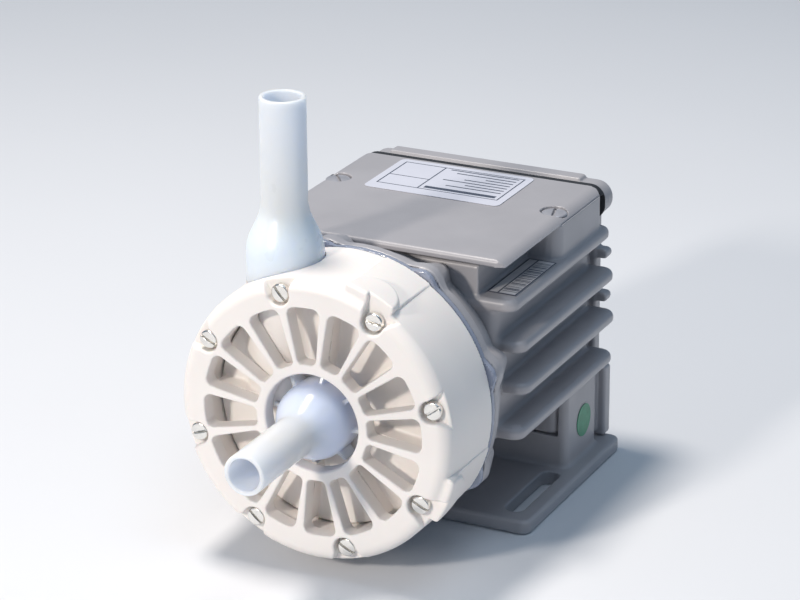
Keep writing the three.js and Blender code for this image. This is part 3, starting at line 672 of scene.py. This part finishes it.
def screw_shape(head_radius, head_depth, shank_radius, shank_depth, slot_width):
    """A slotted screw head at the origin facing -y, slot along x."""
    shank_start, slot_depth, crowning, slot_crowning = 0.5, 1.8, 0.02, 0.012

    def shape(x, y, z):
        radius = np.hypot(x, z)
        face = -y + crowning * radius ** 2
        head = rounded(rounded(radius - head_radius, face, 0.5), y - head_depth, 0.2)
        shank = rounded(radius - shank_radius, band(y, shank_start, shank_depth), 0.2)
        slot = np.maximum(np.abs(z) - slot_width / 2, y + slot_crowning * radius ** 2 - slot_depth)
        return carved(joined(head, shank, 0.2), slot, 0.12)
    return shape


def screws(names, shape, radius, depth, places, slot, step=0.22):
    """One mesh made once and copied to each place: a matrix in the shaft frame in millimetres."""
    points, faces = surface(shape, (-radius, 0, -radius), (radius, depth, radius), step)
    for name, place in zip(names, places):
        mesh = bpy.data.meshes.new(f"{name}_mesh")
        where = [FACE + MM * (place @ Vector(point)) for point in points]
        mesh.from_pydata(where, [], faces.tolist())
        piece = finish_mesh(f"{name}_head", mesh, LOOKS[slot])
        settle(piece, "root", name)


def make_cover_screws():
    """Eight screws in the cover's pockets, each slot turned its own way."""
    names = [f"cover_screw_{i + 1}" for i in range(SCREW_COUNT)]
    head_front, head_radius, shank_depth = 1.4, 3.6, 6.0
    slot_turns = [37, -7, -50, -27, 17, -42, -27, -25]
    places = []
    for i, slot_turn in enumerate(slot_turns):
        angle = FIRST_SCREW + i * 2 * math.pi / SCREW_COUNT
        spot = Vector((SCREW_CIRCLE * math.cos(angle), head_front, SCREW_CIRCLE * math.sin(angle)))
        places.append(Matrix.Translation(spot) @ Matrix.Rotation(-math.radians(slot_turn), 4, "Y"))
    shape = screw_shape(head_radius, 2.6, 2.0, shank_depth, 0.9)
    screws(names, shape, head_radius, shank_depth, places, "nickel")


# ---------- motor ----------
HOUSING_FRONT, HOUSING_BACK, HOUSING_TOP = 58.3, 150.6, 49.6
PEDESTAL_FRONT, PEDESTAL_HALF_WIDTH = 119.0, 52.0
LID_BOX_HALF_WIDTH = 53.6
LID_SCREW_X, LID_SCREW_Y = 47.2, 115
# each fin's height above the shaft, where it starts and how far it reaches sideways
FINS = [(-18.5, 60, 58.5), (-0.8, 63, 59.2), (16.9, 61, 58.6), (34.6, 57, 56.5)]
FIN_BACK, FIN_HALF = 153.0, 2.5


def flange_shape(x, y, z):
    """A cast ring with a tapering boss behind each screw, cut away under the lid."""
    low, radius = node_box("motor_flange")[0], np.hypot(x, z)
    gap, bore_radius = 0.3, 36
    front, back = low.y, HOUSING_FRONT - gap
    rim_radius, rim_back, barrel_radius = 56.6, 44.5, 51
    boss_circle, boss_radius, taper, taper_start = 52.6, 6.9, 0.26, 45
    wall_radius, wall_half = 55, 3.4
    rim = slab(radius - rim_radius, y, front, rim_back, 1.0)
    barrel = slab(radius - barrel_radius, y, front, back, 0.6)
    body = joined(rim, barrel, 3)
    along, across = near_direction(x, z, FIRST_SCREW, SCREW_COUNT)
    slope = taper * np.maximum(y - taper_start, 0)
    boss = np.hypot(along - boss_circle + 0.3 * slope, across) - boss_radius + slope
    boss = rounded(boss, band(y, front, back + 6), 1.5)
    wall = rounded(along - wall_radius + slope, across - wall_half, 1.5)
    body = joined(body, joined(boss, np.maximum(wall, band(y, front, back)), 2), 3)
    body = np.maximum(body, y - back)
    under_lid = np.maximum(LID_LOW.y - gap - y, LID_LOW.z - gap - z)
    body = carved(body, under_lid, 0.4)
    body = np.maximum(body, front - y)
    return carved(body, np.maximum(radius - bore_radius, y - 70), 0.4)


def make_flange():
    """The ring ends at the housing's front, in front of its CAD node's back."""
    low, high = node_box("motor_flange")
    high.y = HOUSING_FRONT
    piece = cast("motor_flange_ring", flange_shape, low, high, 0.8, "grey_paint", 0.4)
    settle(piece, "root", "motor_flange")


def housing_shape(x, y, z):
    """The finned block: it sits on the foot's block, overhangs in front and carries the lid."""
    side, bottom, overhang_bottom, barrel_radius = 48.0, -43.0, -21, 42.8
    front, back, top = HOUSING_FRONT, HOUSING_BACK, HOUSING_TOP
    box_front, box_bottom, recess_side, recess_bottom = 104.5, 37.1, 41, 35.2
    rear_half, bore_radius, bore_back = 46.5, 40, 138
    across, radius = np.abs(x), np.hypot(x, z)
    upper = block(x, y, z, (-side, front, overhang_bottom), (side, back, top), 4, 2)
    lower = block(x, y, z, (-side, PEDESTAL_FRONT, bottom), (side, back, top), 4, 2)
    barrel = slab(radius - barrel_radius, y, front, PEDESTAL_FRONT + 4, 1)
    body = joined(np.minimum(upper, lower), barrel, 3)
    lid_box = block(x, y, z, (-LID_BOX_HALF_WIDTH, box_front, box_bottom),
                    (LID_BOX_HALF_WIDTH, back, top), 6, 1.2)
    body = rounded(rounded(joined(body, lid_box, 2), z - top, 0.8), y - back, 0.8)
    rim = rectangle(across, y, (38, box_front), (LID_BOX_HALF_WIDTH, back), 6)
    body = np.minimum(body, slab(rim, z, 40, LID_LOW.z - 0.03, 0.05))
    recess = np.maximum(recess_side - across, np.maximum(recess_bottom - z, y - box_front))
    body = carved(body, recess, 0.8)
    for height, fin_front, tip in FINS:
        outline = rectangle(x, y, (-tip, fin_front), (tip, FIN_BACK), 5.5)
        fin = slab(outline, z, height - FIN_HALF, height + FIN_HALF, 2.1)
        body = joined(body, fin, 1.6)
    rear = np.maximum(across - rear_half, np.maximum(back - y, band(z, -30, 45)))
    body = carved(body, rear, 0.3)
    bore = np.maximum(radius - bore_radius, y - bore_back)
    compartment = block(x, y, z, (-33, 62, 43.2), (33, 145, 60), 3, 1)
    return carved(carved(body, bore, 0.3), compartment, 0.3)


def make_housing():
    cast_node("motor_housing_body", "motor_housing", housing_shape, 0.9, "grey_paint", 0.4)


def lid_shape(x, y, z):
    """A plate with well rounded sides and a seat for each screw head."""
    seat_radius, seat_depth = 5.4, 1.6
    body = block(x, y, z, LID_LOW, LID_HIGH, 5, 0)
    sides = rounded(np.abs(x) - LID_HIGH.x, z - LID_HIGH.z, 6)
    front = rounded(LID_LOW.y - y, z - LID_HIGH.z, 1.6)
    body = np.maximum(np.maximum(np.maximum(body, sides), front), LID_LOW.z - z)
    seat = np.hypot(np.abs(x) - LID_SCREW_X, y - LID_SCREW_Y) - seat_radius
    return carved(body, np.maximum(seat, LID_HIGH.z - seat_depth - z), 0.3)


def make_lid():
    cast_node("lid_plate", "lid", lid_shape, 0.6, "grey_paint", 0.25)


def make_lid_screws():
    """Two broad, flat heads sunk into the lid."""
    head_radius, shank_depth, sunk = 5.1, 4, 0.2
    names, places = ["lid_screw_left", "lid_screw_right"], []
    upright = Matrix.Rotation(math.radians(-90), 4, "X")
    for side, turn in ((-1, 52), (1, 75)):
        spot = Vector((side * LID_SCREW_X, LID_SCREW_Y, LID_HIGH.z - sunk))
        places.append(Matrix.Translation(spot) @ upright @ Matrix.Rotation(math.radians(turn), 4, "Y"))
    shape = screw_shape(head_radius, 1.2, 2.4, shank_depth, 1.2)
    screws(names, shape, head_radius, shank_depth, places, "lid_screw_finish")


REAR_LOW, REAR_HIGH = node_box("rear_cover")
CROWN_HALF_WIDTH, CROWN_BOTTOM, GASKET_CORNER = 53.0, 39.0, 6.2


def rear_outline(x, z, narrow, wide, crown, top, bottom, corner=6.5):
    """The rear end seen from behind: wide at the foot, narrow between the fins, with a crown."""
    foot_top = -26
    middle = rectangle(x, z, (-narrow, bottom), (narrow, top), 6)
    foot = rectangle(x, z, (-wide, bottom), (wide, foot_top), 1.5)
    head = rectangle(x, z, (-crown, CROWN_BOTTOM), (crown, top), corner)
    return np.maximum(joined(joined(middle, foot, 2), head, 1.5), band(z, bottom, top))


def rear_cover_shape(x, y, z):
    """A plate on a slightly smaller step, with a rib over its top edge and two down each side."""
    low, high, top, crown = REAR_LOW, REAR_HIGH, 52.5, CROWN_HALF_WIDTH
    rib_heights, rib_half = (4.1, 22.7), 2
    outline = rear_outline(x, z, 48.3, 53.4, crown, top, low.z)
    body = slab(outline, y, low.y + 3.3, high.y, 1.2)
    outline = rear_outline(x, z, 45.5, 50.0, crown, top, low.z + 1.5)
    body = joined(body, slab(outline, y, low.y, low.y + 5, 0.3), 0.3)
    rib = rectangle(x, z, (-44, 40), (41.5, high.z), 1.4)
    body = joined(body, slab(rib, y, low.y + 2, high.y - 0.6, 0.8), 0.8)
    for height in rib_heights:
        rib = rectangle(x, z, (-crown, height - rib_half), (crown, height + rib_half), 1.8)
        body = joined(body, slab(rib, y, low.y + 3.6, high.y - 0.3, 0.8), 1)
    return body


def gasket_shape(x, y, z):
    """A sheet between the castings, with a lip that lies on the housing behind the lid."""
    (low, high), gap, bore_radius = node_box("rear_gasket"), 0.3, 38
    sheet_front, crown = HOUSING_BACK + 0.5, high.x
    outline = rear_outline(x, z, 44.5, 49, crown, high.z, low.z, GASKET_CORNER)
    sheet = np.maximum(outline, sheet_front - y)
    lip = rectangle(x, z, (-crown, CROWN_BOTTOM), (crown, high.z), GASKET_CORNER)
    lip = np.maximum(lip, HOUSING_TOP + gap - z)
    body = rounded(np.minimum(sheet, lip), band(y, low.y, high.y), 0.3)
    return carved(body, np.hypot(x, z) - bore_radius, 0.2)


def make_rear():
    cast_node("rear_end_cover", "rear_cover", rear_cover_shape, 0.8, "grey_paint", 0.4)
    cast_node("rear_gasket_ring", "rear_gasket", gasket_shape, 0.5, "black_rubber", 0.3)


def make_rear_screws():
    """Four screws in the rear cover's corners."""
    head_radius, shank_depth = 3.8, 8.0
    slot_turns = 20, -35, 70, 5
    names = [f"rear_screw_{i + 1}" for i in range(len(slot_turns))]
    facing_back = Matrix.Rotation(math.pi, 4, "Z")
    places = []
    for name, turn in zip(names, slot_turns):
        low, high = node_box(name)
        spot = Vector(((low.x + high.x) / 2, high.y, (low.z + high.z) / 2))
        spun = Matrix.Rotation(math.radians(turn), 4, "Y")
        places.append(Matrix.Translation(spot) @ facing_back @ spun)
    shape = screw_shape(head_radius, 2.1, 2.0, shank_depth, 0.9)
    screws(names, shape, head_radius, shank_depth, places, "nickel")


def foot_shape(x, y, z):
    """A plate with two slots, and the block that the housing sits in."""
    plate_thickness, saddle_half, saddle_floor = 6, 48.3, -43.3
    plate_top, half = FOOT_BOTTOM + plate_thickness, PEDESTAL_HALF_WIDTH
    plate = block(x, y, z, (FOOT_LOW.x, FOOT_LOW.y, FOOT_BOTTOM),
                  (FOOT_HIGH.x, FOOT_HIGH.y, plate_top), 4, 1.4)
    pedestal = block(x, y, z, (-half, PEDESTAL_FRONT, plate_top - 2),
                     (half, HOUSING_BACK, FOOT_HIGH.z), 3, 1)
    body = joined(plate, pedestal, 1.8)
    saddle = np.maximum(np.abs(x) - saddle_half, saddle_floor - z)
    body = carved(body, saddle, 0.4)
    slot = rectangle(np.abs(x), y, (44.5, 74), (52.3, 115), 3.85)
    return carved(body, slot, 0.7)


def make_foot():
    cast_node("foot_plate", "mounting_foot", foot_shape, 0.8, "grey_paint", 0.35)


# ---------- labels ----------
def round_corners(left, right, low, high, corner, steps=6):
    """The outline of a rectangle with round corners, as points in a plane."""
    points = []
    for x, y, start in ((right - corner, low + corner, -90), (right - corner, high - corner, 0),
                        (left + corner, high - corner, 90), (left + corner, low + corner, 180)):
        for k in range(steps + 1):
            turn = math.radians(start + 90 * k / steps)
            points.append((x + corner * math.cos(turn), y + corner * math.sin(turn)))
    return points


def film(name, node, outline, look):
    """A thin film: an outline across the CAD node's box, as thick as the box is thin."""
    low, high = node_box(node)
    thin = min(range(3), key=lambda axis: high[axis] - low[axis])
    mesh, work = bpy.data.meshes.new(name), bmesh.new()
    rims = []
    for level in (low[thin], high[thin]):
        rim = []
        for point in outline:
            place = list(point)
            place.insert(thin, level)
            rim.append(work.verts.new(FACE + MM * Vector(place)))
        work.faces.new(rim)
        rims.append(rim)
    for a, b, c, d in zip(rims[0], rims[0][1:] + rims[0][:1], rims[1][1:] + rims[1][:1], rims[1]):
        work.faces.new((a, b, c, d))
    bmesh.ops.recalc_face_normals(work, faces=work.faces)
    work.to_mesh(mesh)
    work.free()
    settle(finish_mesh(name, mesh, look), "root", node)


def make_rating_label():
    """A bordered plate with a blank square, a ruled title and grey lines instead of lettering."""
    paper, ink = (0.62, 0.63, 0.70), (0.07, 0.08, 0.11)
    left, right, front, back = -30.5, 22.6, 115.5, 143.2
    divider, shelf, line = -12.7, 126.6, 0.6
    text_right, row_height, row_widths = 20.5, 0.9, (24, 17, 28, 20, 12, 26, 30)
    rules = [(left, right, front, front + line), (left, right, back - line, back),
             (left, left + line, front, back), (right - line, right, front, back),
             (divider, divider + line, front, back), (left, divider, shelf, shelf + line)]
    title = [(-10.5, text_right, 117.3, 119.8)]
    rows = [(text_right - width, text_right, start, start + row_height)
            for start, width in zip(range(123, 142, 3), row_widths)]
    look = printed("rating_label_look", paper, ink, rules + title + rows)
    low, high = node_box("rating_label")
    outline = round_corners(low.x, high.x, low.y, high.y, 2.5)
    film("rating_label_film", "rating_label", outline, look)


def make_fin_label():
    """A narrow plate with a border, a plain strip and a field of uneven lines."""
    paper, ink, line = (0.62, 0.61, 0.62), (0.07, 0.08, 0.11), 0.7
    low, high = node_box("fin_label")
    strip, bar_pitch = low.x + 4, 1.3
    border = [(low.x, high.x, low.y, low.y + line), (low.x, high.x, high.y - line, high.y),
              (low.x, low.x + line, low.y, high.y), (high.x - line, high.x, low.y, high.y),
              (strip, strip + line, low.y, high.y)]
    field = (strip + 1, high.x - 1, low.y + 3, high.y - 3)
    look = printed("fin_label_look", paper, ink, border, (field, bar_pitch))
    outline = round_corners(low.x, high.x, low.y, high.y, 0.4)
    film("fin_label_film", "fin_label", outline, look)


def make_sticker():
    """A plain green disc on the foot's block."""
    low, high = node_box("round_sticker")
    radius, count = (high.y - low.y) / 2, 48
    middle_y, middle_z = (low.y + high.y) / 2, (low.z + high.z) / 2
    turns = [2 * math.pi * k / count for k in range(count)]
    outline = [(middle_y + radius * math.cos(turn), middle_z + radius * math.sin(turn))
               for turn in turns]
    green = moulded("sticker_look", (0.05, 0.30, 0.16), 0.4, variation=0.1, scale=300, bump=0.05)
    film("round_sticker_film", "round_sticker", outline, green)


def make_gland():
    """A short six-sided nut with a domed end, open for a cable."""
    low, high = node_box("cable_gland")
    middle_y, middle_z = (low.y + high.y) / 2, (low.z + high.z) / 2
    wall, nut_length, nut_half = low.x + 7.4, 3.4, 5.15
    dome_radius, shank_radius, bore_radius = 4.9, 3.6, 2.6

    def gland_shape(x, y, z):
        u, v = y - middle_y, z - middle_z
        radius = np.hypot(u, v)
        slanted = np.abs(u) * math.cos(math.pi / 6) + np.abs(v) * 0.5
        nut = slab(np.maximum(np.abs(v), slanted) - nut_half, x, wall - nut_length, wall, 0.4)
        dome = slab(radius - dome_radius, x, low.x, wall - 2, 1.2)
        shank = slab(radius - shank_radius, x, wall - 1, high.x, 0.3)
        return carved(joined(joined(nut, dome, 0.3), shank, 0.2), radius - bore_radius, 0.4)

    cast_node("cable_gland_nut", "cable_gland", gland_shape, 0.35, "black_plastic", 0.5)


# ---------- everything ----------
def dress_kept_nodes():
    """Better materials on the CAD nodes that stay."""
    slots = {entry["node"]: entry["material_slot"] for entry in frame["record"]["subparts"]}
    for name, node in frame["nodes"].items():
        look = LOOKS.get(slots[name])
        if look:
            node.data.materials.clear()
            node.data.materials.append(look)


make_camera()
make_stage()
dress_kept_nodes()
for make in (make_cover, make_casing, make_inlet, make_outlet, make_rear_casing, make_cover_screws,
             make_flange, make_housing, make_lid, make_lid_screws, make_rear, make_rear_screws,
             make_foot, make_rating_label, make_fin_label, make_sticker, make_gland):
    make()
